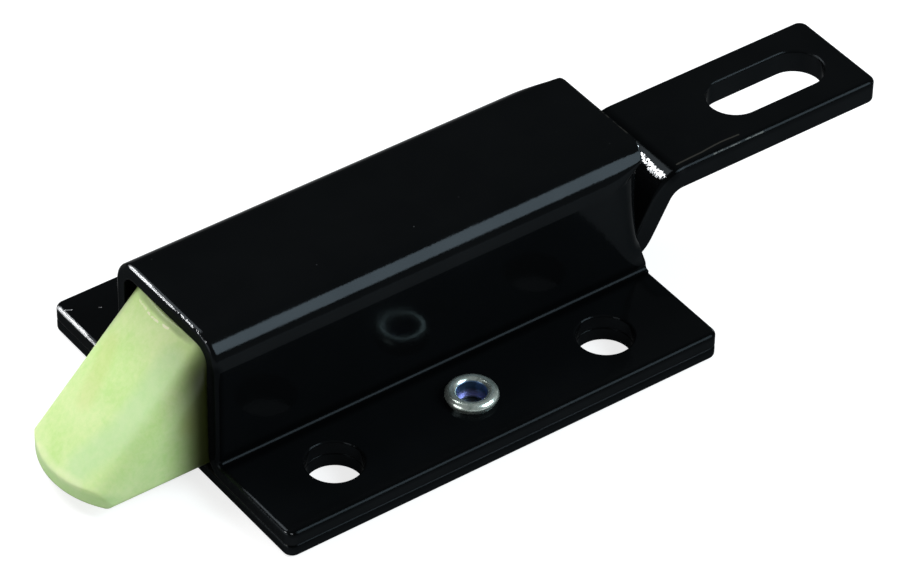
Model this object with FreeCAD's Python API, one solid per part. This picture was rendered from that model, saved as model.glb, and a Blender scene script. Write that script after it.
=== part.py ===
# Surface-mounted spring latch: a folded steel housing riveted to a base plate, a ramped nylon bolt that
# slides in it, and a flat pull strap that comes out at the back.
# Millimetres. +X is the way the bolt springs out, +Z points away from the mounting surface, and the origin
# is the middle of the four screw holes on the underside of the base plate.
import FreeCAD
import Part

import math
import os

# Plates and screw holes
plate_length = 63.0
plate_width = 50.7
sheet = 1.9
plate_corner = 1.3
rolled_edge = 0.6
screw_from_end = 11.65
screw_from_side = 7.6
screw_hole = 7.14
screw_hole_lip = 0.25

# Housing, a hat section folded from one sheet
channel_width = 21.2
housing_height = 21.9
corner_radius = 4.0
fold_radius = 0.6

# Rear walls, pinched inward to catch the spring and stop the strap
pinch_depth = 2.8
pinch_length_low = 1.8
pinch_length_high = 6.5
pinch_power = 2.0
pinch_stations = 5
# Height share and depth share of each pole of the curve that the pinched wall follows.
pinch_poles = ((0.0, 0.0), (0.1, 0.0), (0.16, 1.25), (0.5, 1.06), (0.8, 1.02), (1.0, 1.0))

# Nylon bolt
running_clearance = 0.15
bolt_side_clearance = 0.5
bolt_top_clearance = 0.3
bolt_throw = 16.25
bolt_inside = 23.5
bolt_top_round = 2.2
bolt_bottom_round = 0.6
ramp_angle = 44.5
ramp_crown_radius = 21.0
ramp_edge_round = 3.4
ramp_start = 0.2
nose_radius = 12.7
nose_corner = 1.65

# Pull strap
strap_width = 15.3
strap_thickness = 3.4
strap_reach = 38.4
strap_offset = 8.6
strap_angle = 61.0
strap_bend_radius = 2.0
strap_corner = 1.3
strap_edge_round = 0.6
strap_stop_gap = 0.1
strap_in_bolt = 18.0
slot_length = 17.0
slot_width = 7.15
slot_from_end = 11.95
slot_edge_round = 0.3

# Return spring
spring_clearance = 0.67
spring_wire = 1.2
spring_turns = 9
spring_closed_pitch = 1.02
spring_points_per_turn = 12
spring_wall_gap = 0.05
spring_end_gap = 0.02
spigot_clearance = 0.4
spigot_length = 8.0
spigot_chamfer = 0.8

# Pin that holds the strap in the bolt
pin_diameter = 4.0
pin_in_bolt = 8.0
pin_fit = 0.02
pin_from_end = 8.0
pin_chamfer = 0.4

# Semi-tubular rivets
rivet_shank = 4.8
rivet_head = 8.4
rivet_head_depth = 1.2
rivet_fit = 0.02
rivet_rim = 6.6
rivet_proud = 1.25
rivet_bore = 3.7
rivet_bore_depth = 2.3
rivet_step = 0.35
# The rolled end in section: how far its outside draws in at the plate, how high its widest point lies and
# how deep its mouth dips, each as a share.
rivet_draw_in = 0.3
rivet_widest = 0.45
rivet_dip = 0.55

# Halvings used where a point is found on a curve, and how near two points count as one
halvings = 40
touching = 1e-6

half_length = plate_length / 2
half_width = plate_width / 2
screw_spacing_x = plate_length - 2 * screw_from_end
screw_spacing_y = plate_width - 2 * screw_from_side
wall_out = channel_width / 2
wall_in = wall_out - sheet
flange_top = 2 * sheet
rear_x = -half_length
front_x = half_length
bolt_low = sheet + running_clearance
bolt_high = housing_height - sheet - bolt_top_clearance
bolt_half = wall_in - bolt_side_clearance
bolt_rear = front_x - bolt_inside
nose_tip = front_x + bolt_throw
strap_low = bolt_low
strap_top = strap_low + strap_thickness
strap_half = strap_width / 2
strap_end = rear_x - strap_reach
strap_front = bolt_rear + strap_in_bolt
pin_x = strap_front - pin_from_end
spring_axis_z = (strap_top + housing_height - sheet) / 2
spring_outer = housing_height - sheet - strap_top - 2 * spring_clearance


def vec(x, y, z):
    return FreeCAD.Vector(x, y, z)


def line(a, b):
    return Part.LineSegment(a, b).toShape()


def arc(a, middle, b):
    return Part.Arc(a, middle, b).toShape()


def arc_about(centre, radius, from_angle, to_angle):
    # An arc in the YZ plane, angles in degrees from +Y towards +Z.
    points = []
    for share in (0.0, 0.5, 1.0):
        turn = math.radians(from_angle + share * (to_angle - from_angle))
        points.append(centre + vec(0, radius * math.cos(turn), radius * math.sin(turn)))
    return arc(*points)


def mirror_y(shape):
    return shape.mirror(vec(0, 0, 0), vec(0, 1, 0))


def prism(edges, direction):
    return Part.Face(Part.Wire(Part.__sortEdges__(edges))).extrude(direction)


def screw_centres():
    centres = []
    for side_x in (-1, 1):
        for side_y in (-1, 1):
            centres.append(vec(side_x * screw_spacing_x / 2, side_y * screw_spacing_y / 2, 0))
    return centres


def rivet_centres():
    return [vec(0, side * screw_spacing_y / 2, 0) for side in (-1, 1)]


def middle_of(edge):
    return edge.valueAt((edge.FirstParameter + edge.LastParameter) / 2)


def is_flat(edge):
    return edge.BoundBox.ZLength < touching


def upright_edges(shape, x, half):
    found = []
    for edge in shape.Edges:
        point = middle_of(edge)
        in_place = abs(point.x - x) < touching and abs(abs(point.y) - half) < touching
        if in_place and edge.BoundBox.ZLength > sheet / 2 and edge.BoundBox.YLength < touching:
            found.append(edge)
    return found


def pinch_share(x, height_share):
    # How much of its full depth the pinch has at x: it starts later near the plate than near the top.
    length = pinch_length_low + height_share * (pinch_length_high - pinch_length_low)
    along = min(1.0, max(0.0, (rear_x + length - x) / length))
    return along**pinch_power


def wall_curve(x, half):
    # The side wall between its fold and its rounded corner, at one station of the pinched end.
    low = flange_top + fold_radius
    height = housing_height - corner_radius - low
    poles = []
    for height_share, depth_share in pinch_poles:
        depth = pinch_depth * depth_share * pinch_share(x, height_share)
        poles.append(vec(x, half - depth, low + height_share * height))
    curve = Part.BezierCurve()
    curve.setPoles(poles)
    return curve


def wall_at_height(x, half, z):
    # Half the width between the side walls at a height, found by halving the curve.
    curve = wall_curve(x, half)
    low, high = 0.0, 1.0
    for _ in range(halvings):
        middle = (low + high) / 2
        if curve.value(middle).z < z:
            low = middle
        else:
            high = middle
    return curve.value(low).y


def pinched_corner(x, half, radius):
    # The rounded corner above the wall: an arc that starts where the wall ends and runs level into the top.
    start = wall_curve(x, half).value(1.0)
    centre_y = half - radius
    aside = start.y - centre_y
    bow = (aside**2 + radius**2) / (2 * radius)
    centre = vec(x, centre_y, housing_height - corner_radius + radius - bow)
    start_angle = math.degrees(math.atan2(start.z - centre.z, aside))
    return arc_about(centre, bow, start_angle, 90)


def half_section(x, pinched):
    # One half of the hat section: the outer face from the flange edge to the top, and the inner face.
    fold_centre = vec(x, wall_out + fold_radius, flange_top + fold_radius)
    bend_centre = vec(x, wall_out - corner_radius, housing_height - corner_radius)
    outer = [line(vec(x, half_width, flange_top), vec(x, wall_out + fold_radius, flange_top))]
    outer.append(arc_about(fold_centre, fold_radius, 270, 180))
    inner = [line(vec(x, half_width, sheet), vec(x, wall_out + fold_radius, sheet))]
    inner.append(arc_about(fold_centre, fold_radius + sheet, 270, 180))
    for edges, half, radius in ((outer, wall_out, corner_radius), (inner, wall_in, corner_radius - sheet)):
        if pinched:
            edges.append(wall_curve(x, half).toShape())
            edges.append(pinched_corner(x, half, radius))
        else:
            low = vec(x, half, flange_top + fold_radius)
            edges.append(line(low, vec(x, half, housing_height - corner_radius)))
            edges.append(arc_about(bend_centre, radius, 0, 90))
    return outer, inner


def closed_section(x, half_edges, edge_y):
    # Both halves of a section, joined across the top and closed at their outer edges.
    bend_y = wall_out - corner_radius
    edges = half_edges + [mirror_y(edge) for edge in half_edges]
    for z in (housing_height, housing_height - sheet):
        edges.append(line(vec(x, -bend_y, z), vec(x, bend_y, z)))
    for side in (-1, 1):
        edges.append(line(vec(x, side * edge_y, sheet), vec(x, side * edge_y, flange_top)))
    return Part.Wire(Part.__sortEdges__(edges))


def hat_section(x):
    # The whole folded sheet: flanges, folds, side walls and top.
    outer, inner = half_section(x, False)
    return closed_section(x, outer + inner, half_width)


def channel_section(x):
    # The same sheet without its flanges, at one station of the pinched rear end.
    outer, inner = half_section(x, True)
    return closed_section(x, outer[1:] + inner[1:], wall_out + fold_radius)


def rounded_rim(shape, corner_x, z, radius):
    # Rounds the plan corners at one end, then the edge that runs round them at height z.
    shape = shape.makeFillet(plate_corner, upright_edges(shape, corner_x, half_width))
    rim = []
    for edge in shape.Edges:
        point = middle_of(edge)
        if abs(point.z - z) < touching and abs(abs(point.y) - half_width) < touching:
            rim.append(edge)
    return shape.makeFillet(radius, rim)


def make_rear_flange(side):
    width = half_width - wall_out - fold_radius
    low_y = wall_out + fold_radius if side > 0 else -half_width
    flange = Part.makeBox(pinch_length_high, width, sheet, vec(rear_x, low_y, sheet))
    return rounded_rim(flange, rear_x, flange_top, rolled_edge)


def make_pinched_end():
    stations = []
    for step in range(pinch_stations):
        stations.append(channel_section(rear_x + pinch_length_high * (1 - step / (pinch_stations - 1))))
    return Part.makeLoft(stations, True, False)


def cut_screw_holes(plate, top):
    for centre in screw_centres():
        hole = Part.makeCylinder(screw_hole / 2, 3 * flange_top, centre - vec(0, 0, sheet))
        plate = plate.cut(hole)
    rims = []
    for edge in plate.Edges:
        circular = isinstance(edge.Curve, Part.Circle)
        round_rim = circular and abs(edge.Curve.Radius - screw_hole / 2) < touching
        if round_rim and abs(edge.BoundBox.ZMax - top) < touching and edge.BoundBox.ZLength < touching:
            rims.append(edge)
    return plate.makeFillet(screw_hole_lip, rims)


def make_housing():
    pinch_start = rear_x + pinch_length_high
    front = Part.Face(hat_section(pinch_start)).extrude(vec(front_x - pinch_start, 0, 0))
    body = rounded_rim(front, front_x, flange_top, rolled_edge)
    body = body.fuse([make_pinched_end(), make_rear_flange(-1), make_rear_flange(1)]).removeSplitter()
    for centre in rivet_centres():
        radius = rivet_shank / 2 + rivet_fit
        body = body.cut(Part.makeCylinder(radius, flange_top + sheet, centre))
    return cut_screw_holes(body, flange_top)


def make_base_plate():
    plate = Part.makeBox(plate_length, plate_width, sheet, vec(-half_length, -half_width, 0))
    corners = upright_edges(plate, front_x, half_width) + upright_edges(plate, rear_x, half_width)
    plate = plate.makeFillet(plate_corner, corners)
    plate = plate.makeFillet(rolled_edge, [edge for edge in plate.Edges if is_flat(edge)])
    for centre in rivet_centres():
        shank = rivet_shank / 2 + rivet_fit
        head = rivet_head / 2 + rivet_fit
        plate = plate.cut(Part.makeCylinder(shank, 2 * sheet, centre))
        plate = plate.cut(Part.makeCone(head, shank, rivet_head_depth, centre))
    return cut_screw_holes(plate, sheet)


def make_rivet(centre):
    # Countersunk head below, and a tubular end rolled outward over the flange.
    shank = rivet_shank / 2
    rim = rivet_rim / 2
    bore = rivet_bore / 2
    top = flange_top + rivet_proud
    roll = (rim - bore) / 2
    roll_y = bore + roll
    crown = min(roll, rivet_proud)
    floor = top - rivet_bore_depth

    def at(radius, z):
        return vec(radius, 0, z)

    edges = [line(at(0, 0), at(rivet_head / 2, 0))]
    edges.append(line(at(rivet_head / 2, 0), at(shank, rivet_head_depth)))
    edges.append(line(at(shank, rivet_head_depth), at(shank, flange_top)))
    outer_low = at(rim - rivet_draw_in * roll, flange_top)
    outer_high = at(rim, flange_top + rivet_widest * rivet_proud)
    mouth = at(bore, top - rivet_dip * crown)
    edges.append(line(at(shank, flange_top), outer_low))
    edges.append(line(outer_low, outer_high))
    edges.append(arc(outer_high, at(roll_y, top), mouth))
    edges.append(line(mouth, at(bore, floor)))
    edges.append(line(at(bore, floor), at(bore - rivet_step, floor)))
    edges.append(line(at(bore - rivet_step, floor), at(bore - rivet_step, floor - rivet_step)))
    edges.append(line(at(bore - rivet_step, floor - rivet_step), at(0, floor - rivet_step)))
    edges.append(line(at(0, floor - rivet_step), at(0, 0)))
    rivet = Part.Face(Part.Wire(edges)).revolve(vec(0, 0, 0), vec(0, 0, 1), 360)
    rivet.translate(centre)
    return rivet


def rounded_block(x, low, high, half, top_round, bottom_round):
    # A section across the bolt, rounded at its four corners.
    edges = [line(vec(x, -half + top_round, high), vec(x, half - top_round, high))]
    edges.append(line(vec(x, -half + bottom_round, low), vec(x, half - bottom_round, low)))
    for side in (-1, 1):
        edges.append(line(vec(x, side * half, low + bottom_round), vec(x, side * half, high - top_round)))
    top_arc = arc_about(vec(x, half - top_round, high - top_round), top_round, 0, 90)
    low_arc = arc_about(vec(x, half - bottom_round, low + bottom_round), bottom_round, 270, 360)
    edges += [top_arc, low_arc, mirror_y(top_arc), mirror_y(low_arc)]
    return Part.Face(Part.Wire(Part.__sortEdges__(edges)))


def make_ramp_envelope():
    # A long crowned bar that runs along the ramp: what lies outside it is cut off the bolt.
    reach = nose_tip - rear_x
    spread = bolt_half - ramp_edge_round
    inner_crown = ramp_crown_radius - ramp_edge_round
    centre_z = -ramp_crown_radius
    corner_z = centre_z + math.sqrt(inner_crown**2 - spread**2)
    lean = math.atan2(spread, corner_z - centre_z)
    crown_end = vec(0, ramp_crown_radius * math.sin(lean), centre_z + ramp_crown_radius * math.cos(lean))
    half_turn = (math.pi / 2 - lean) / 2 + lean
    aside = ramp_edge_round * math.sin(half_turn)
    above = ramp_edge_round * math.cos(half_turn)
    corner_mid = vec(0, spread + aside, corner_z + above)
    corner_end = vec(0, bolt_half, corner_z)
    mirrored = [vec(0, -point.y, point.z) for point in (crown_end, corner_mid, corner_end)]
    edges = [arc(mirrored[0], vec(0, 0, 0), crown_end), arc(crown_end, corner_mid, corner_end)]
    edges.append(line(corner_end, vec(0, bolt_half, -reach)))
    edges.append(line(vec(0, bolt_half, -reach), vec(0, -bolt_half, -reach)))
    edges.append(line(vec(0, -bolt_half, -reach), mirrored[2]))
    edges.append(arc(mirrored[2], mirrored[1], mirrored[0]))
    bar = Part.Face(Part.Wire(edges)).extrude(vec(2 * reach, 0, 0))
    bar.translate(vec(-reach, 0, 0))
    bar.rotate(vec(0, 0, 0), vec(0, 1, 0), ramp_angle)
    bar.translate(vec(front_x + ramp_start, 0, bolt_high))
    return bar


def make_nose_outline():
    # The bolt seen from above: straight sides, small corners and a round nose.
    corner_y = bolt_half - nose_corner
    centre_x = nose_tip - nose_radius
    corner_x = centre_x + math.sqrt((nose_radius - nose_corner) ** 2 - corner_y**2)
    lean = math.atan2(corner_y, corner_x - centre_x)
    join = vec(centre_x + nose_radius * math.cos(lean), nose_radius * math.sin(lean), 0)
    half_turn = (math.pi / 2 + lean) / 2
    middle = vec(corner_x, corner_y, 0) + vec(math.cos(half_turn), math.sin(half_turn), 0) * nose_corner
    side = vec(corner_x, bolt_half, 0)
    back = vec(bolt_rear, bolt_half, 0)
    edges = [line(back, side), arc(side, middle, join)]
    edges += [mirror_y(edge) for edge in edges]
    edges.append(arc(join, vec(nose_tip, 0, 0), vec(join.x, -join.y, 0)))
    edges.append(line(back, vec(back.x, -back.y, 0)))
    return prism(edges, vec(0, 0, housing_height))


def make_latch_bolt():
    face = rounded_block(bolt_rear, bolt_low, bolt_high, bolt_half, bolt_top_round, bolt_bottom_round)
    bolt = face.extrude(vec(nose_tip - bolt_rear, 0, 0))
    bolt = bolt.common(make_ramp_envelope()).common(make_nose_outline())
    rebate = Part.makeBox(strap_in_bolt, 2 * wall_out, strap_top, vec(bolt_rear, -wall_out, 0))
    bolt = bolt.cut(rebate)
    pin_radius = pin_diameter / 2 + pin_fit
    pin_hole = Part.makeCylinder(pin_radius, pin_in_bolt + pin_fit, vec(pin_x, 0, strap_top))
    bolt = bolt.cut(pin_hole)
    spigot_radius = spring_outer / 2 - spring_wire - spigot_clearance
    base = vec(bolt_rear, 0, spring_axis_z)
    straight = spigot_length - spigot_chamfer
    spigot = Part.makeCylinder(spigot_radius, straight, base, vec(-1, 0, 0))
    tip_radius = spigot_radius - spigot_chamfer
    tip_base = base - vec(straight, 0, 0)
    tip = Part.makeCone(spigot_radius, tip_radius, spigot_chamfer, tip_base, vec(-1, 0, 0))
    return bolt.fuse([spigot, tip]).removeSplitter()


def make_pin():
    radius = pin_diameter / 2
    pin = Part.makeCylinder(radius, strap_thickness + pin_in_bolt, vec(pin_x, 0, strap_low))
    return pin.makeChamfer(pin_chamfer, [edge for edge in pin.Edges if is_flat(edge)])


def rise_run(height):
    # How far back the strap's upper face lies from the foot of its jog, at a height above its low level.
    slope = math.radians(strap_angle)
    curve = strap_bend_radius * (1 - math.cos(slope))
    if height < curve:
        return math.sqrt(strap_bend_radius**2 - (strap_bend_radius - height) ** 2)
    return strap_bend_radius * math.sin(slope) + (height - curve) / math.tan(slope)


def stop_height():
    # Where the inside of the pinched wall comes in as far as the side of the strap, at the rear edge.
    low, high = flange_top + fold_radius, housing_height / 2
    for _ in range(halvings):
        middle = (low + high) / 2
        if wall_at_height(rear_x, wall_in, middle) > strap_half:
            low = middle
        else:
            high = middle
    return low


def strap_profile():
    # The side view of the strap: low level in the housing, a sloping jog, and a high level behind.
    slope = math.radians(strap_angle)
    inner = strap_bend_radius
    outer = strap_bend_radius + strap_thickness
    foot_x = rear_x - strap_stop_gap + rise_run(max(0.0, stop_height() - strap_top))
    foot = vec(foot_x, 0, strap_top + inner)
    run = (strap_offset - (inner + outer) * (1 - math.cos(slope))) / math.tan(slope)
    head = vec(foot_x - (inner + outer) * math.sin(slope) - run, 0, strap_top + strap_offset - outer)

    def on_bend(centre, radius, turn):
        return centre + vec(radius * math.sin(turn), 0, radius * math.cos(turn))

    def bend(centre, radius, from_turn, to_turn):
        middle = (from_turn + to_turn) / 2
        ends = [on_bend(centre, radius, turn) for turn in (from_turn, middle, to_turn)]
        return arc(*ends)

    edges = []
    for foot_radius, head_radius in ((inner, outer), (outer, inner)):
        low = on_bend(foot, foot_radius, math.pi)
        low_end = on_bend(foot, foot_radius, math.pi + slope)
        high_start = on_bend(head, head_radius, slope)
        high = on_bend(head, head_radius, 0)
        edges.append(line(vec(strap_front, 0, low.z), low))
        edges.append(bend(foot, foot_radius, math.pi, math.pi + slope))
        edges.append(line(low_end, high_start))
        edges.append(bend(head, head_radius, slope, 0))
        edges.append(line(high, vec(strap_end, 0, high.z)))
    for x, z in ((strap_front, strap_low), (strap_end, strap_low + strap_offset)):
        edges.append(line(vec(x, 0, z), vec(x, 0, z + strap_thickness)))
    return edges


def make_slot_cutter():
    radius = slot_width / 2
    half = slot_length / 2 - radius
    x = strap_end + slot_from_end
    edges = []
    for side in (-1, 1):
        edges.append(line(vec(x - half, side * radius, 0), vec(x + half, side * radius, 0)))
        end_x = x + side * half
        tip = vec(end_x + side * radius, 0, 0)
        edges.append(arc(vec(end_x, -radius, 0), tip, vec(end_x, radius, 0)))
    return prism(edges, vec(0, 0, housing_height))


def make_strap():
    strap = prism(strap_profile(), vec(0, strap_width, 0))
    strap.translate(vec(0, -strap_half, 0))
    strap = strap.makeFillet(strap_corner, upright_edges(strap, strap_end, strap_half))
    high = strap_top + strap_offset
    rim = []
    for edge in strap.Edges:
        point = middle_of(edge)
        level = abs(point.z - high) < touching or abs(point.z - high + strap_thickness) < touching
        if level and abs(abs(point.y) - strap_half) < touching:
            rim.append(edge)
    strap = strap.makeFillet(strap_edge_round, rim)
    strap = strap.cut(make_slot_cutter())
    pin_radius = pin_diameter / 2 + pin_fit
    strap = strap.cut(Part.makeCylinder(pin_radius, flange_top + strap_top, vec(pin_x, 0, 0)))
    slot_x = strap_end + slot_from_end
    lips = []
    for edge in strap.Edges:
        point = middle_of(edge)
        on_face = abs(point.z - high) < touching or abs(point.z - high + strap_thickness) < touching
        near_x = abs(point.x - slot_x) < slot_length / 2 + touching
        near_y = abs(point.y) < slot_width / 2 + touching
        if on_face and near_x and near_y:
            lips.append(edge)
    return strap.makeFillet(slot_edge_round, lips)


def spring_rear():
    # The station where the pinched walls come in to the spring's outside.
    low, high = rear_x, rear_x + pinch_length_high
    for _ in range(halvings):
        middle = (low + high) / 2
        if wall_at_height(middle, wall_in, spring_axis_z) < spring_outer / 2 + spring_wall_gap:
            low = middle
        else:
            high = middle
    return high


def make_return_spring():
    radius = (spring_outer - spring_wire) / 2
    start = spring_rear() + spring_wire / 2 + spring_end_gap
    end = bolt_rear - spring_wire / 2 - spring_end_gap
    closed = spring_wire * spring_closed_pitch
    open_turns = spring_turns - 2
    pitch = (end - start - 2 * closed) / open_turns
    points = []
    for step in range(spring_turns * spring_points_per_turn + 1):
        turn = step / spring_points_per_turn
        angle = 2 * math.pi * turn
        first = closed * min(turn, 1)
        middle = pitch * min(max(turn - 1, 0), open_turns)
        last = closed * max(turn - open_turns - 1, 0)
        across = vec(0, radius * math.cos(angle), radius * math.sin(angle))
        points.append(vec(start + first + middle + last, 0, spring_axis_z) + across)
    path = Part.BSplineCurve()
    path.interpolate(points)
    wire = Part.Wire([path.toShape()])
    circle = Part.Circle(points[0], path.tangent(path.FirstParameter)[0], spring_wire / 2)
    spring = wire.makePipeShell([Part.Wire([circle.toShape()])], True, True)
    return spring


def main():
    os.makedirs("parts", exist_ok=True)
    nodes = {
        "housing": make_housing(),
        "base_plate": make_base_plate(),
        "latch_bolt": make_latch_bolt(),
        "strap": make_strap(),
        "drive_pin": make_pin(),
        "return_spring": make_return_spring(),
    }
    for name, centre in zip(("rivet_left", "rivet_right"), rivet_centres()):
        nodes[name] = make_rivet(centre)
    for name, shape in nodes.items():
        print(name, shape.isValid(), len(shape.Solids), round(shape.Volume, 1), len(shape.Faces))
        shape.exportStep(f"parts/{name}.step")


main()
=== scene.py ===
import math

import bpy
from mathutils import Matrix, Vector


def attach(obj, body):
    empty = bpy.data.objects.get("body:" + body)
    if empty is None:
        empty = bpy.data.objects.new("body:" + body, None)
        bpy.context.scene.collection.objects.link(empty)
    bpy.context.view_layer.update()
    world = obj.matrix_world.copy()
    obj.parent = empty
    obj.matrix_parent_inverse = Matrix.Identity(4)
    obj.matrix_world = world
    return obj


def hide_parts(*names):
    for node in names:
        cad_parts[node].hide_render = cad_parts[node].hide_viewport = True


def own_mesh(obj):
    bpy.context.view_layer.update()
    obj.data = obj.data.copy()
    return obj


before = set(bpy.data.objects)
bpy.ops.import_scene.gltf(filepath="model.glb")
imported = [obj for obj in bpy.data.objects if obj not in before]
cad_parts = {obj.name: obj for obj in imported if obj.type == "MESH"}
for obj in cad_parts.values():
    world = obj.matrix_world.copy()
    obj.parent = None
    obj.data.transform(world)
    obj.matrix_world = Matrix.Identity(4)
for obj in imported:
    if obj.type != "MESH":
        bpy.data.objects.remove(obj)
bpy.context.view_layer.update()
print("frame loaded:", ", ".join(sorted(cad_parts)))

mm = 0.001
scene = bpy.context.scene
scene.view_settings.view_transform = "Standard"


# shorthand for the node trees

def startMaterial(name):
    material = bpy.data.materials.new(name)
    material.use_nodes = True
    material.node_tree.nodes.clear()
    return material, material.node_tree


def put(tree, kind, **settings):
    # settings that name a socket are set on it, the others on the node
    node = tree.nodes.new(kind)
    for key, value in settings.items():
        label = key.replace("_", " ")
        sockets = [socket for socket in node.inputs if socket.name.lower() == label]
        if sockets:
            sockets[0].default_value = value
        else:
            setattr(node, key, value)
    return node


def join(tree, source, socket):
    # another node's output is linked; a number, colour or vector is set on the socket itself
    if isinstance(source, bpy.types.NodeSocket):
        tree.links.new(source, socket)
    elif isinstance(source, tuple) and socket.type == "RGBA":
        socket.default_value = (*source, 1.0)
    else:
        socket.default_value = source


def place(tree):
    # the point of the surface in metres, in the object's own frame
    return put(tree, "ShaderNodeTexCoord").outputs["Object"]


def axes(tree, vector):
    node = put(tree, "ShaderNodeSeparateXYZ")
    join(tree, vector, node.inputs[0])
    return node.outputs["X"], node.outputs["Y"], node.outputs["Z"]


def grain(tree, point, size, detail=2.0, rough=0.5):
    # noise with lumps of about this size, in metres
    noise = put(tree, "ShaderNodeTexNoise", scale=1 / size, detail=detail, roughness=rough)
    join(tree, point, noise.inputs["Vector"])
    return noise


def reach(tree, value, low, high, outLow=0.0, outHigh=1.0, easing="LINEAR"):
    # value from low..high to outLow..outHigh, held at the ends
    node = put(tree, "ShaderNodeMapRange", interpolation_type=easing)
    join(tree, value, node.inputs["Value"])
    join(tree, low, node.inputs["From Min"])
    join(tree, high, node.inputs["From Max"])
    join(tree, outLow, node.inputs["To Min"])
    join(tree, outHigh, node.inputs["To Max"])
    return node.outputs["Result"]


def sums(tree, kind, *terms):
    node = put(tree, "ShaderNodeMath", operation=kind)
    for term, socket in zip(terms, node.inputs):
        join(tree, term, socket)
    return node.outputs[0]


def vectors(tree, kind, *terms):
    node = put(tree, "ShaderNodeVectorMath", operation=kind)
    for term, socket in zip(terms, node.inputs):
        join(tree, term, socket)
    measured = kind in ("DOT_PRODUCT", "DISTANCE", "LENGTH")
    return node.outputs["Value" if measured else "Vector"]


def blendColours(tree, share, first, second):
    node = put(tree, "ShaderNodeMix", data_type="RGBA")
    for term, index in ((share, 0), (first, 6), (second, 7)):  # factor and the two colours
        join(tree, term, node.inputs[index])
    return node.outputs[2]


def bumps(tree, height, depth, under=None):
    # depth is in metres
    node = put(tree, "ShaderNodeBump", distance=depth, strength=1.0)
    join(tree, height, node.inputs["Height"])
    if under is not None:
        join(tree, under, node.inputs["Normal"])
    return node.outputs["Normal"]


def finishMaterial(tree, colour, roughness, normal, constants):
    # constants are the same all over the surface
    shader = put(tree, "ShaderNodeBsdfPrincipled")
    join(tree, colour, shader.inputs["Base Color"])
    join(tree, roughness, shader.inputs["Roughness"])
    join(tree, normal, shader.inputs["Normal"])
    for name, value in constants.items():
        join(tree, value, shader.inputs[name])
    output = put(tree, "ShaderNodeOutputMaterial")
    join(tree, shader.outputs[0], output.inputs["Surface"])


def dress(node, material):
    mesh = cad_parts[node].data
    mesh.materials.clear()
    mesh.materials.append(material)


noiseSpan = (0.3, 0.7)  # where most of a noise's values lie


# marks: a streak runs from one point to the next, all in millimetres at rest

markStyle = {
    "core": 0.4,  # share of the width that is at full strength
    "wanderGrain": (1.6 * mm, 2.0),
    "wander": 0.07 * mm,  # how far a streak strays from its line
    "chipGrain": (3.0, 0.65),
    "chipWeight": 0.56,  # of the streak, against the noise that breaks it up
    "chipEdge": (1.00, 1.08),
}


def streak(tree, point, start, end, width):
    # 1 on the line between two points, 0 a width away from it
    first, run = Vector(start) * mm, (Vector(end) - Vector(start)) * mm
    offset = vectors(tree, "SUBTRACT", point, first)
    share = vectors(tree, "DOT_PRODUCT", offset, run / run.length_squared)
    foot = vectors(tree, "MULTIPLY", run, reach(tree, share, 0.0, 1.0))
    gap = vectors(tree, "DISTANCE", offset, foot)
    return reach(tree, gap, width * markStyle["core"] * mm, width * mm, 1.0, 0.0)


def markMask(tree, point, marks):
    # every mark is (points, width, strength, break size); a break size of 0 leaves it whole
    wander = markStyle["wander"]
    noise = grain(tree, point, *markStyle["wanderGrain"]).outputs["Color"]
    drift = vectors(tree, "MULTIPLY_ADD", noise, (2 * wander,) * 3, (-wander,) * 3)
    moved = vectors(tree, "ADD", point, drift)
    total = None
    for line, width, strength, breakSize in marks:
        for start, end in zip(line, line[1:]):
            mask = streak(tree, moved, start, end, width)
            if breakSize:
                chips = grain(tree, point, breakSize * mm, *markStyle["chipGrain"]).outputs["Fac"]
                mask = sums(tree, "MULTIPLY", mask, markStyle["chipWeight"])
                mask = reach(tree, sums(tree, "ADD", mask, chips), *markStyle["chipEdge"])
            mask = sums(tree, "MULTIPLY", mask, strength)
            total = mask if total is None else sums(tree, "MAXIMUM", total, mask)
    return total


# gloss black stove paint on the pressed steel

blackPaint = {
    "colour": (0.0093, 0.0106, 0.0116),  # what it mirrors, straight on
    "faded": (0.0108, 0.0122, 0.0133),
    "cloud": (9 * mm, 3.0),
    "cloudSpan": (0.35, 0.7),
    "roughness": (0.07, 0.13),
    "wave": (5.0 * mm, 1.0),
    "waveDepth": 0.012 * mm,
    "peel": (0.9 * mm, 1.0),
    "peelDepth": 0.006 * mm,
    "fine": (0.35 * mm, 1.0),
    "fineDepth": 0.004 * mm,
    "edgeRound": 0.20 * mm,
    "edgeSamples": 4,
    # worn steel, also laid as painted highlight on front edges and the strap's bend
    "wearAndHighlight": (0.80, 0.82, 0.84),
    "wearAndHighlightRoughness": 0.34,
    "chipDepth": 0.05 * mm,
    # scuffed paint, also laid as pale painted highlight along edges
    "scuffAndSheen": (0.075, 0.074, 0.066),
    "scuffAndSheenRoughness": 0.30,
    # painted shade, darker than the paint, for folds and edges
    "paintedShade": (0.0030, 0.0036, 0.0040),
    "constants": {
        "Metallic": 0.76,
        "Specular IOR Level": 0.0,
        "Specular Tint": (0.50, 0.50, 0.50),  # keeps the pale floor off its upright faces
    },
}
dust = {
    "colour": (0.16, 0.17, 0.18),
    "size": 0.10,  # in millimetres, as the spacing is
    "core": 0.5,  # share of a speck that is at full strength
    "spacing": 1.9,
    "share": 0.10,  # of the cells that hold a speck
    "facing": (0.6, 0.95),  # it lies only on faces that look up
}
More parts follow.
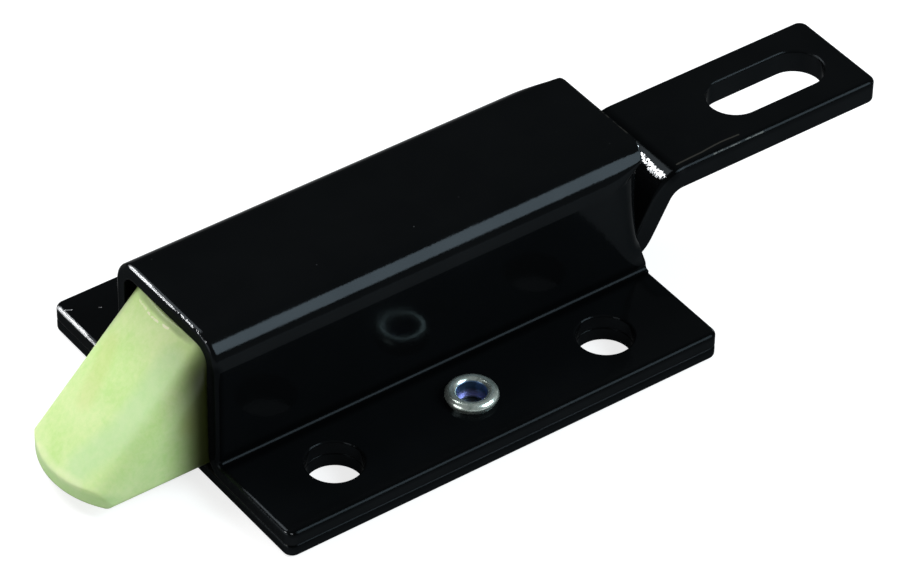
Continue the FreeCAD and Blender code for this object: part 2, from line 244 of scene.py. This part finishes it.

# first list: worn through to bright steel; on the front edges and the strap's bend it is also
# painted highlight
# second list: scuffed or yellowed paint, and pale lines along edges that are painted highlight
# third list: painted shade in folds and along edges, darker than the paint to hold back their
# reflections
housingMarks = {
    "wearAndHighlight": [
        # front edge of the top, worn steel and painted highlight
        ([(31.34, -8.3, 21.72), (31.34, -3.0, 21.76)], 0.26, 1.0, 0),
        ([(31.34, -3.0, 21.76), (31.34, 1.2, 21.76)], 0.20, 0.8, 0),
        ([(31.34, 1.2, 21.76), (31.34, 6.6, 21.76), (31.34, 8.4, 21.30)], 0.22, 0.9, 0.45),
        # front edge of the far flange, worn steel and painted highlight, and two nicks behind it
        ([(31.30, -24.5, 3.62), (31.30, -18.0, 3.62)], 0.30, 1.0, 0),
        ([(31.30, -18.0, 3.62), (31.30, -12.0, 3.62)], 0.22, 0.8, 0),
        ([(31.0, -23.3, 3.8), (30.3, -22.9, 3.8)], 0.11, 0.7, 0),
        ([(27.3, -21.4, 3.8), (27.1, -21.25, 3.8)], 0.09, 0.4, 0),
        # corners: foot of the near wall, near flange at the front, top and near flange at the rear
        ([(31.4, 10.5, 5.3), (31.4, 10.9, 4.1), (31.4, 11.9, 3.8)], 0.16, 0.7, 0.4),
        ([(31.3, 24.2, 3.6), (30.8, 25.0, 3.6)], 0.14, 0.5, 0.4),
        ([(-31.45, 7.2, 21.7), (-31.45, 8.5, 21.0)], 0.20, 1.0, 0.4),
        ([(-31.1, 23.0, 3.7), (-31.1, 24.6, 3.7)], 0.14, 0.5, 0.4),
    ],
    "scuffAndSheen": [
        ([(31.2, -9.2, 21.2), (-31.2, -9.2, 21.2)], 0.9, 0.20, 0),  # far top corner
        ([(31.0, -25.1, 3.7), (-31.0, -25.1, 3.7)], 0.3, 0.3, 1.2),  # far flange's edge
        # painted highlight along the rear edge of the top
        ([(-31.4, -8.0, 21.85), (-31.4, 6.0, 21.85)], 0.18, 0.7, 0.8),  # rear edge of the top
    ],
    "paintedShade": [
        # painted shade in the folds
        ([(31.0, 11.2, 4.2), (-31.0, 11.2, 4.2)], 1.3, 0.80, 0),
        ([(31.0, -11.2, 4.2), (-31.0, -11.2, 4.2)], 1.3, 0.80, 0),
        # painted shade on the front edges of the walls
        ([(31.5, 10.6, 4.6), (31.5, 10.6, 18.0)], 1.2, 0.75, 0),
        ([(31.5, -10.6, 4.6), (31.5, -10.6, 18.0)], 1.2, 0.60, 0),
        # painted shade along the near flange's edge
        ([(31.0, 25.3, 3.7), (-31.0, 25.3, 3.7)], 0.8, 0.70, 0),  # near flange's edge
    ],
}
plateMarks = {
    "wearAndHighlight": [
        ([(31.3, -24.6, 1.7), (31.3, -20.5, 1.7)], 0.12, 0.4, 0.5),
        ([(31.2, 24.2, 1.7), (30.5, 25.0, 1.7)], 0.12, 0.5, 0.5),
        ([(-31.2, 24.6, 1.6), (-31.3, 22.0, 1.7)], 0.14, 0.6, 0.6),
    ],
    "scuffAndSheen": [
        # painted highlight along the front edges, top and bottom
        ([(31.3, 24.6, 1.75), (31.3, -24.6, 1.75)], 0.16, 0.5, 1.0),
        ([(31.4, 24.6, 0.1), (31.4, -24.6, 0.1)], 0.3, 0.4, 1.4),
        # scratches on the underside
        ([(12.0, -6.0, 0.0), (-9.0, 3.5, 0.0)], 0.12, 0.9, 1.2),
        ([(-14.0, -12.0, 0.0), (-22.0, 5.0, 0.0)], 0.10, 0.8, 0.9),
    ],
    "paintedShade": [
        # painted shade along the near edge
        ([(31.0, 25.3, 1.8), (-31.0, 25.3, 1.8)], 0.8, 0.65, 0),
    ],
}
strapScratch = [(-38.9, 6.6, 14.05), (-42.7, 6.5, 14.05), (-46.0, 6.2, 14.05), (-48.7, 6.35, 14.05)]
strapMarks = {
    "wearAndHighlight": [
        # chips on the bend where the key lamp's highlight falls, worn steel and painted highlight
        ([(-36.9, 2.2, 13.4), (-36.6, 5.0, 13.25)], 0.80, 0.45, 0.40),
        ([(-36.6, 4.6, 13.25), (-36.6, 6.6, 13.25)], 1.10, 0.60, 0.60),
        ([(-36.6, 5.3, 13.25), (-36.6, 6.5, 13.25)], 0.70, 0.95, 0.35),
    ],
    "scuffAndSheen": [
        (strapScratch, 0.16, 1.0, 0),
        # painted highlight along the edges of the side, the rear end and the slot
        ([(-44.0, 7.5, 13.90), (-52.0, 7.5, 13.90)], 0.20, 0.30, 0.8),
        ([(-69.7, 6.4, 13.90), (-69.7, -6.4, 13.90)], 0.20, 0.5, 1.0),
        ([(-66.8, -2.0, 13.9), (-66.8, 2.4, 13.9)], 0.26, 0.9, 0.8),
        ([(-50.3, -2.6, 13.9), (-49.5, 1.0, 13.9)], 0.22, 0.6, 0.8),
        ([(-69.5, 6.9, 13.9), (-69.3, 7.3, 10.8)], 0.30, 0.7, 0.5),
    ],
    "paintedShade": [
        # painted shade across the bend and along the near top edge
        ([(-37.4, -7.0, 13.7), (-37.4, 7.0, 13.7)], 1.7, 0.80, 0),
        ([(-40.0, 7.65, 13.9), (-68.6, 7.65, 13.9)], 0.9, 0.55, 0),
    ],
}

cornerSheen = {
    "half": 6.6 * mm,  # centre line of the rounded top corner
    "height": 17.9 * mm,
    "from": (-23.5 * mm, -26.0 * mm),  # sets in over this stretch of X
    "to": (-31.44 * mm, -31.30 * mm),  # stops short of the rear edge
    "above": (18.5 * mm, 19.7 * mm),  # sets in over this stretch of Z
}


def dustMask(tree, point):
    # small round specks, in only some cells
    cells = put(tree, "ShaderNodeTexVoronoi", scale=1 / (dust["spacing"] * mm))
    join(tree, point, cells.inputs["Vector"])
    edge = dust["size"] / dust["spacing"]
    speck = reach(tree, cells.outputs["Distance"], edge * dust["core"], edge, 1.0, 0.0)
    tone = put(tree, "ShaderNodeSeparateColor")
    join(tree, cells.outputs["Color"], tone.inputs[0])
    chosen = sums(tree, "LESS_THAN", tone.outputs[0], dust["share"])
    specks = sums(tree, "MULTIPLY", sums(tree, "MULTIPLY", speck, chosen), tone.outputs[1])
    up = axes(tree, put(tree, "ShaderNodeNewGeometry").outputs["Normal"])[2]
    return sums(tree, "MULTIPLY", specks, reach(tree, up, *dust["facing"]))


def evenCorner(tree, point, normal):
    # keeps the light bar on the top corner straight where the walls are pinched in below it
    x, y, z = axes(tree, point)
    past = sums(tree, "SUBTRACT", sums(tree, "ABSOLUTE", y), cornerSheen["half"])
    aside = sums(tree, "MULTIPLY", sums(tree, "MAXIMUM", past, 0.0), sums(tree, "SIGN", y))
    spoke = put(tree, "ShaderNodeCombineXYZ")
    join(tree, aside, spoke.inputs["Y"])
    join(tree, sums(tree, "SUBTRACT", z, cornerSheen["height"]), spoke.inputs["Z"])
    share = reach(tree, x, *cornerSheen["from"], easing="SMOOTHSTEP")
    share = sums(tree, "MULTIPLY", share, reach(tree, x, *cornerSheen["to"]))
    share = sums(tree, "MULTIPLY", share, reach(tree, z, *cornerSheen["above"]))
    even = vectors(tree, "NORMALIZE", spoke.outputs[0])
    mixed = put(tree, "ShaderNodeMix", data_type="VECTOR")
    for term, index in ((share, 0), (normal, 4), (even, 5)):  # factor and the two vectors
        join(tree, term, mixed.inputs[index])
    return mixed.outputs[1]


def makeBlackPaint(name, marks, ease=None):
    # ease reworks the normal before the bumps go on it
    paint = blackPaint
    material, tree = startMaterial(name)
    point = place(tree)
    cloud = grain(tree, point, *paint["cloud"]).outputs["Fac"]
    scuffAndSheen = markMask(tree, point, marks["scuffAndSheen"])
    wearAndHighlight = markMask(tree, point, marks["wearAndHighlight"])
    paintedShade = markMask(tree, point, marks["paintedShade"])
    fading = reach(tree, cloud, *paint["cloudSpan"])
    colour = blendColours(tree, fading, paint["colour"], paint["faded"])
    # painted shade in folds and along edges
    colour = blendColours(tree, paintedShade, colour, paint["paintedShade"])
    # scuffs, and painted highlight lines along edges
    colour = blendColours(tree, scuffAndSheen, colour, paint["scuffAndSheen"])
    colour = blendColours(tree, dustMask(tree, point), colour, dust["colour"])
    # worn steel, partly painted highlight on the front edges and the strap's bend
    colour = blendColours(tree, wearAndHighlight, colour, paint["wearAndHighlight"])
    rough = reach(tree, cloud, *noiseSpan, *paint["roughness"])
    for mask, most in ((scuffAndSheen, paint["scuffAndSheenRoughness"]), (wearAndHighlight, paint["wearAndHighlightRoughness"])):
        rough = sums(tree, "MAXIMUM", rough, reach(tree, mask, 0.0, 1.0, 0.0, most))
    soft = put(tree, "ShaderNodeBevel", samples=paint["edgeSamples"], radius=paint["edgeRound"])
    normal = ease(tree, point, soft.outputs[0]) if ease else soft.outputs[0]
    for layer in ("wave", "peel", "fine"):
        height = grain(tree, point, *paint[layer]).outputs["Fac"]
        normal = bumps(tree, height, paint[layer + "Depth"], normal)
    normal = bumps(tree, sums(tree, "SUBTRACT", 1.0, wearAndHighlight), paint["chipDepth"], normal)
    finishMaterial(tree, colour, rough, normal, paint["constants"])
    return material


dress("housing", makeBlackPaint("housingPaint", housingMarks, evenCorner))
dress("base_plate", makeBlackPaint("platePaint", plateMarks))
dress("strap", makeBlackPaint("strapPaint", strapMarks))
print("paint done")


# pale green nylon of the bolt, cloudy, with painted shade where it leaves the housing

paleNylon = {
    "lime": (0.565, 0.80, 0.30),
    "cream": (0.70, 0.85, 0.41),
    "cloud": (5 * mm, 4.0, 0.65),
    "cloudShare": 0.6,
    "speckle": (0.7 * mm, 3.0, 0.7),
    "speckleShare": 0.4,
    "toneSpan": (0.38, 0.62),
    "amber": (0.62, 0.66, 0.24),
    # painted highlight: a lighter band down the ramp towards its near edge
    "ridgeHighlight": (0.54, 0.76, 0.46),
    "shade": (0.20, 0.27, 0.10),
    # pale scuffs, and painted highlight along the crease of the nose
    "chalkAndHighlight": (0.93, 0.92, 0.66),
    # painted shade on the blunt end below the ramp, darker and greener than the ramp
    "green": (0.36, 0.60, 0.24),  # of the blunt end below the ramp
    "noseShadeShare": 0.5,
    "noseTop": (3.4 * mm, 4.2 * mm),
    "noseBack": (42.5 * mm, 45.0 * mm),
    # painted shade, olive-tinted, on the bolt next to the housing's mouth
    "mouthShade": (0.040, 0.052, 0.006),
    "mouthShadeFrom": (31.6 * mm, 38.5 * mm),  # from the housing's mouth forward
    "mouthShadeSide": (5.4 * mm, 8.2 * mm),
    "mouthShadeMiddle": 0.26,  # its strength on the ramp, where the sides have 1
    "roughness": (0.34, 0.48),
    "dents": (2.4 * mm, 2.0),
    "dentDepth": 0.020 * mm,
    "fine": (0.22 * mm, 2.0),
    "fineDepth": 0.006 * mm,
    "edgeRound": 0.5 * mm,
    "edgeSamples": 6,
    "constants": {
        "IOR": 1.53,
        "Subsurface Weight": 0.4,
        "Subsurface Radius": (1.0, 1.0, 0.7),
        "Subsurface Scale": 0.9 * mm,
    },
}
# laid over each other in this order
boltMarks = {
    "amber": [
        ([(36.5, -4.5, 14.5), (38.5, -3.2, 12.4), (41.0, -2.2, 10.0)], 2.2, 0.30, 0),
        ([(33.0, 6.2, 12.0), (33.4, 8.6, 9.5)], 2.2, 0.45, 0),
    ],
    "ridgeHighlight": [
        # painted highlight down the ramp towards its near edge
        ([(33.5, 4.6, 16.5), (41.0, 4.8, 9.2), (45.5, 3.0, 5.6)], 2.6, 0.38, 0),
    ],
    "shade": [
        ([(31.7, -6.5, 19.3), (31.8, -1.2, 19.6), (31.7, 5.5, 19.4)], 0.60, 0.6, 0),
        ([(46.6, 3.4, 2.1), (45.4, 5.2, 2.1)], 0.5, 0.5, 0.8),
        ([(46.7, 3.0, 3.0), (45.2, 5.4, 2.9)], 0.12, 0.6, 0),
    ],
    "chalkAndHighlight": [
        ([(31.9, -4.8, 18.8), (32.35, -2.3, 18.95)], 0.26, 0.6, 0.5),
        ([(32.35, -2.3, 18.95), (32.5, -0.6, 18.95), (32.2, 1.8, 19.1)], 0.30, 0.95, 0.7),
        # painted highlight along the crease of the nose
        ([(47.2, -4.2, 4.1), (47.7, 0.4, 4.0), (46.9, 4.2, 4.05)], 1.1, 0.30, 0),
    ],
}


def makeNylon(name):
    nylon = paleNylon
    material, tree = startMaterial(name)
    point = place(tree)
    cloud = grain(tree, point, *nylon["cloud"]).outputs["Fac"]
    speckle = grain(tree, point, *nylon["speckle"]).outputs["Fac"]
    tone = sums(tree, "ADD", sums(tree, "MULTIPLY", cloud, nylon["cloudShare"]),
                sums(tree, "MULTIPLY", speckle, nylon["speckleShare"]))
    tone = reach(tree, tone, *nylon["toneSpan"])
    colour = blendColours(tree, tone, nylon["lime"], nylon["cream"])
    for tint, marks in boltMarks.items():
        colour = blendColours(tree, markMask(tree, point, marks), colour, nylon[tint])
    x, y, z = axes(tree, point)
    # painted shade on the blunt end below the ramp
    noseShade = sums(tree, "MULTIPLY", reach(tree, z, *nylon["noseTop"], 1.0, 0.0),
                 reach(tree, x, *nylon["noseBack"], 0.0, nylon["noseShadeShare"]))
    colour = blendColours(tree, noseShade, colour, nylon["green"])
    # painted shade next to the housing's mouth, weaker on the ramp than on the sides
    along = reach(tree, x, *nylon["mouthShadeFrom"], 1.0, 0.0, easing="SMOOTHSTEP")
    side = reach(tree, sums(tree, "ABSOLUTE", y), *nylon["mouthShadeSide"],
                 nylon["mouthShadeMiddle"], 1.0, easing="SMOOTHSTEP")
    colour = blendColours(tree, sums(tree, "MULTIPLY", along, side), colour, nylon["mouthShade"])
    soft = put(tree, "ShaderNodeBevel", samples=nylon["edgeSamples"], radius=nylon["edgeRound"])
    dents = grain(tree, point, *nylon["dents"]).outputs["Fac"]
    fine = grain(tree, point, *nylon["fine"]).outputs["Fac"]
    normal = bumps(tree, dents, nylon["dentDepth"], soft.outputs[0])
    normal = bumps(tree, fine, nylon["fineDepth"], normal)
    rough = reach(tree, cloud, *noiseSpan, *nylon["roughness"])
    finishMaterial(tree, colour, rough, normal, nylon["constants"])
    return material


dress("latch_bolt", makeNylon("paleNylon"))
print("nylon done")


# zinc on the rivets: blue wall in the bore, a violet step, and painted shade at its bottom

zinc = {
    "bright": (0.86, 0.97, 0.90),
    "dark": (0.46, 0.56, 0.50),
    "cloud": (0.6 * mm, 3.0, 0.65),
    "cloudSpan": (0.46, 0.70),
    "cloudDepth": 0.004 * mm,
    "roughness": (0.20, 0.30),
    "boreRadius": (1.88 * mm, 1.98 * mm),
    "boreRoughness": 0.36,
    "wall": (0.12, 0.22, 0.38),
    "wallFoot": (3.3 * mm, 3.7 * mm),
    "step": (0.40, 0.42, 0.66),
    "stepFoot": (2.45 * mm, 2.60 * mm),
    "pitShade": (0.10, 0.12, 0.11),
    "centre": 17.75 * mm,  # of each rivet, to either side of the middle
    "constants": {"Metallic": 0.88},
}


def makeZinc(name, centre):
    material, tree = startMaterial(name)
    point = place(tree)
    cloud = grain(tree, point, *zinc["cloud"]).outputs["Fac"]
    patches = reach(tree, cloud, *zinc["cloudSpan"])
    colour = blendColours(tree, patches, zinc["bright"], zinc["dark"])
    level = vectors(tree, "MULTIPLY_ADD", point, (1.0, 1.0, 0.0), (0.0, -centre, 0.0))
    bore = reach(tree, vectors(tree, "LENGTH", level), *zinc["boreRadius"], 1.0, 0.0)
    z = axes(tree, point)[2]
    tint = blendColours(tree, reach(tree, z, *zinc["wallFoot"]), zinc["step"], zinc["wall"])
    # painted shade at the bottom of the bore
    tint = blendColours(tree, reach(tree, z, *zinc["stepFoot"]), zinc["pitShade"], tint)
    colour = blendColours(tree, bore, colour, tint)
    rough = reach(tree, cloud, *noiseSpan, *zinc["roughness"])
    rough = sums(tree, "MAXIMUM", rough, sums(tree, "MULTIPLY", bore, zinc["boreRoughness"]))
    finishMaterial(tree, colour, rough, bumps(tree, cloud, zinc["cloudDepth"]), zinc["constants"])
    return material


dress("rivet_left", makeZinc("leftZinc", -zinc["centre"]))
dress("rivet_right", makeZinc("rightZinc", zinc["centre"]))
print("zinc done")


# plain steel of the pin and the spring

steel = {
    "pinColour": (0.55, 0.55, 0.56),
    "pinRoughness": 0.3,
    "cloud": (0.5 * mm, 3.0),
    "cloudDepth": 0.01 * mm,
    "roughnessSpread": (0.8, 1.3),
    "stain": 0.7,
    "stainSpan": (0.45, 0.65),
    "constants": {"Metallic": 1.0},
}


def makeMetal(name, colour, roughness):
    material, tree = startMaterial(name)
    cloud = grain(tree, place(tree), *steel["cloud"]).outputs["Fac"]
    spread = (roughness * part for part in steel["roughnessSpread"])
    rough = reach(tree, cloud, *noiseSpan, *spread)
    stained = tuple(channel * steel["stain"] for channel in colour)
    tone = blendColours(tree, reach(tree, cloud, *steel["stainSpan"]), colour, stained)
    finishMaterial(tree, tone, rough, bumps(tree, cloud, steel["cloudDepth"]), steel["constants"])
    return material


dress("drive_pin", makeMetal("groundSteel", steel["pinColour"], steel["pinRoughness"]))
print("pin done")


# return spring, wound again as a coil of wire with a closed turn at each end

returnSpring = {
    "axisHeight": 12.725 * mm,
    "radius": 6.005 * mm,  # to the middle of the wire
    "wire": 1.2 * mm,
    "turns": 9,
    "closedPitch": 1.224 * mm,  # of the turn at each end
    "start": -30.20 * mm,
    "end": 7.38 * mm,
    "stepsPerTurn": 36,
    "sides": 14,
    "fixedEnd": -30.80 * mm,
    "travel": 16.0 * mm,
    "colour": (0.42, 0.42, 0.43),
    "roughness": 0.3,
}


def windWire(spring):
    # the middle of the wire at each step, and its direction away from the axis
    openTurns = spring["turns"] - 2  # the first and the last turn are closed
    pitch = (spring["end"] - spring["start"] - 2 * spring["closedPitch"]) / openTurns
    centres = []
    for step in range(spring["turns"] * spring["stepsPerTurn"] + 1):
        turn = step / spring["stepsPerTurn"]
        closed = min(turn, 1) + max(turn - openTurns - 1, 0)
        opened = min(max(turn - 1, 0), openTurns)
        along = spring["start"] + closed * spring["closedPitch"] + pitch * opened
        outward = Vector((0, math.cos(2 * math.pi * turn), math.sin(2 * math.pi * turn)))
        middle = Vector((along, 0, spring["axisHeight"])) + outward * spring["radius"]
        centres.append((middle, outward))
    return centres


def makeSpring():
    spring = returnSpring
    centres = windWire(spring)
    points, faces = [], []
    sides = spring["sides"]
    for index, (centre, outward) in enumerate(centres):
        before = centres[max(index - 1, 0)][0]
        after = centres[min(index + 1, len(centres) - 1)][0]
        aside = (after - before).normalized().cross(outward).normalized()
        for side in range(sides):
            angle = 2 * math.pi * side / sides
            spoke = math.cos(angle) * outward + math.sin(angle) * aside
            points.append(centre + spoke * spring["wire"] / 2)
        if index:
            ring = (index - 1) * sides
            for side in range(sides):
                beside = (side + 1) % sides
                faces.append((ring + side, ring + beside,
                              ring + sides + beside, ring + sides + side))
    faces.append(tuple(reversed(range(sides))))
    faces.append(tuple(range(len(points) - sides, len(points))))
    mesh = bpy.data.meshes.new("springCoil")
    mesh.from_pydata(points, [], faces)
    mesh.polygons.foreach_set("use_smooth", [len(face) == 4 for face in faces])
    mesh.materials.append(makeMetal("springWire", spring["colour"], spring["roughness"]))
    coil = bpy.data.objects.new("springCoil", mesh)
    scene.collection.objects.link(coil)
    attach(coil, "case")
    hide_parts("return_spring")
    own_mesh(coil)


makeSpring()
print("spring done")


# floor and background

studio = {
    "floorSize": 6.0,
    "floorDrop": 0.02 * mm,
    "floorColour": (0.42, 0.42, 0.42),
    "floorGlow": 0.77,
    "floorMirrored": 0.22,  # how much of its glow a glossy surface picks up
    "fill": 0.30,
    "horizonMirrored": (0.32, 0.17),  # the same for the background, low down and high up
    "horizonTop": 0.42,  # sine of the elevation above which it stays the same
}


def seenDirectly(tree, path, mirrored):
    # 1 for the camera and through glass, mirrored for glossy surfaces
    gloss = sums(tree, "MULTIPLY", path.outputs["Is Glossy Ray"], mirrored)
    other = sums(tree, "MAXIMUM", gloss, path.outputs["Is Transmission Ray"])
    return sums(tree, "MAXIMUM", path.outputs["Is Camera Ray"], other)


def makeFloor():
    half = studio["floorSize"] / 2
    mesh = bpy.data.meshes.new("floor")
    corners = [(-half, -half, 0), (half, -half, 0), (half, half, 0), (-half, half, 0)]
    mesh.from_pydata(corners, [], [(0, 1, 2, 3)])
    floor = bpy.data.objects.new("floor", mesh)
    scene.collection.objects.link(floor)
    floor.location.z = -studio["floorDrop"]
    material, tree = startMaterial("paleFloor")
    diffuse = put(tree, "ShaderNodeBsdfDiffuse")
    join(tree, studio["floorColour"], diffuse.inputs["Color"])
    seen = seenDirectly(tree, put(tree, "ShaderNodeLightPath"), studio["floorMirrored"])
    glow = put(tree, "ShaderNodeEmission")
    join(tree, sums(tree, "MULTIPLY", seen, studio["floorGlow"]), glow.inputs["Strength"])
    both = put(tree, "ShaderNodeAddShader")
    join(tree, diffuse.outputs[0], both.inputs[0])
    join(tree, glow.outputs[0], both.inputs[1])
    output = put(tree, "ShaderNodeOutputMaterial")
    join(tree, both.outputs[0], output.inputs["Surface"])
    mesh.materials.append(material)


def makeWorld():
    world = bpy.data.worlds.new("studio")
    scene.world = world
    world.use_nodes = True
    tree = world.node_tree
    tree.nodes.clear()
    path = put(tree, "ShaderNodeLightPath")
    height = axes(tree, put(tree, "ShaderNodeTexCoord").outputs["Generated"])[2]
    mirrored = reach(tree, height, 0.0, studio["horizonTop"], *studio["horizonMirrored"])
    seen = seenDirectly(tree, path, mirrored)
    fill = sums(tree, "MULTIPLY", path.outputs["Is Diffuse Ray"], studio["fill"])
    back = put(tree, "ShaderNodeBackground")
    join(tree, sums(tree, "MAXIMUM", seen, fill), back.inputs["Strength"])
    output = put(tree, "ShaderNodeOutputWorld")
    join(tree, back.outputs[0], output.inputs["Surface"])


makeFloor()
makeWorld()
print("floor and background done")


# soft lamps, each placed by its bearing from the latch in degrees; glow is its brightness as seen

lamps = {
    "keyLamp": {
        "azimuth": -74, "elevation": 48, "distance": 0.9,
        "size": (0.50, 0.50), "glow": 7.6, "colour": (1.0, 1.0, 1.0),
    },
    "barPanel": {
        "azimuth": 131, "elevation": 38.5, "distance": 1.0,
        "size": (0.60, 0.54), "glow": 8.0, "colour": (0.80, 0.93, 1.0),
    },
    "frontPanel": {
        "azimuth": -12, "elevation": 12, "distance": 1.0,
        "size": (0.9, 0.45), "glow": 3.0, "colour": (1.0, 1.0, 1.0),
    },
}


def bearing(azimuth, elevation):
    # unit vector from the latch, both angles in radians
    level = math.cos(elevation)
    return Vector((math.cos(azimuth) * level, math.sin(azimuth) * level, math.sin(elevation)))


def hangLamp(name, lamp):
    light = bpy.data.lights.new(name, "AREA")
    light.shape = "RECTANGLE"
    light.size, light.size_y = lamp["size"]
    light.energy = lamp["glow"] * math.pi * light.size * light.size_y
    light.color = lamp["colour"]
    body = bpy.data.objects.new(name, light)
    scene.collection.objects.link(body)
    away = bearing(math.radians(lamp["azimuth"]), math.radians(lamp["elevation"]))
    body.location = away * lamp["distance"]
    body.rotation_mode = "QUATERNION"
    body.rotation_quaternion = away.to_track_quat("Z", "Y")
    body.visible_camera = False


for name, lamp in lamps.items():
    hangLamp(name, lamp)
print("lamps done")


# camera at the photograph's view, fitted to the latch's corners, edges and holes

viewpoint = {
    "target": (-9.020 * mm, 0.816 * mm, 5.0 * mm),
    "azimuth": 53.542,
    "elevation": 40.173,
    "roll": 0.989,
    "distance": 626.44 * mm,
    "lens": 206.38,
    "sensor": 36,
    "clip": (0.05, 20),
}


def setCamera():
    camera = bpy.data.objects.new("camera", bpy.data.cameras.new("camera"))
    scene.collection.objects.link(camera)
    camera.data.sensor_width = viewpoint["sensor"]
    camera.data.lens = viewpoint["lens"]
    camera.data.clip_start, camera.data.clip_end = viewpoint["clip"]
    turn, lift, roll = (math.radians(viewpoint[key]) for key in ("azimuth", "elevation", "roll"))
    back = bearing(turn, lift)
    level = Vector((0, 0, 1)).cross(back).normalized()
    right = math.cos(roll) * level + math.sin(roll) * back.cross(level)
    up = back.cross(right)
    camera.rotation_mode = "QUATERNION"
    camera.rotation_quaternion = Matrix((right, up, back)).transposed().to_quaternion()
    camera.location = Vector(viewpoint["target"]) + back * viewpoint["distance"]
    scene.camera = camera


setCamera()
print("camera done")
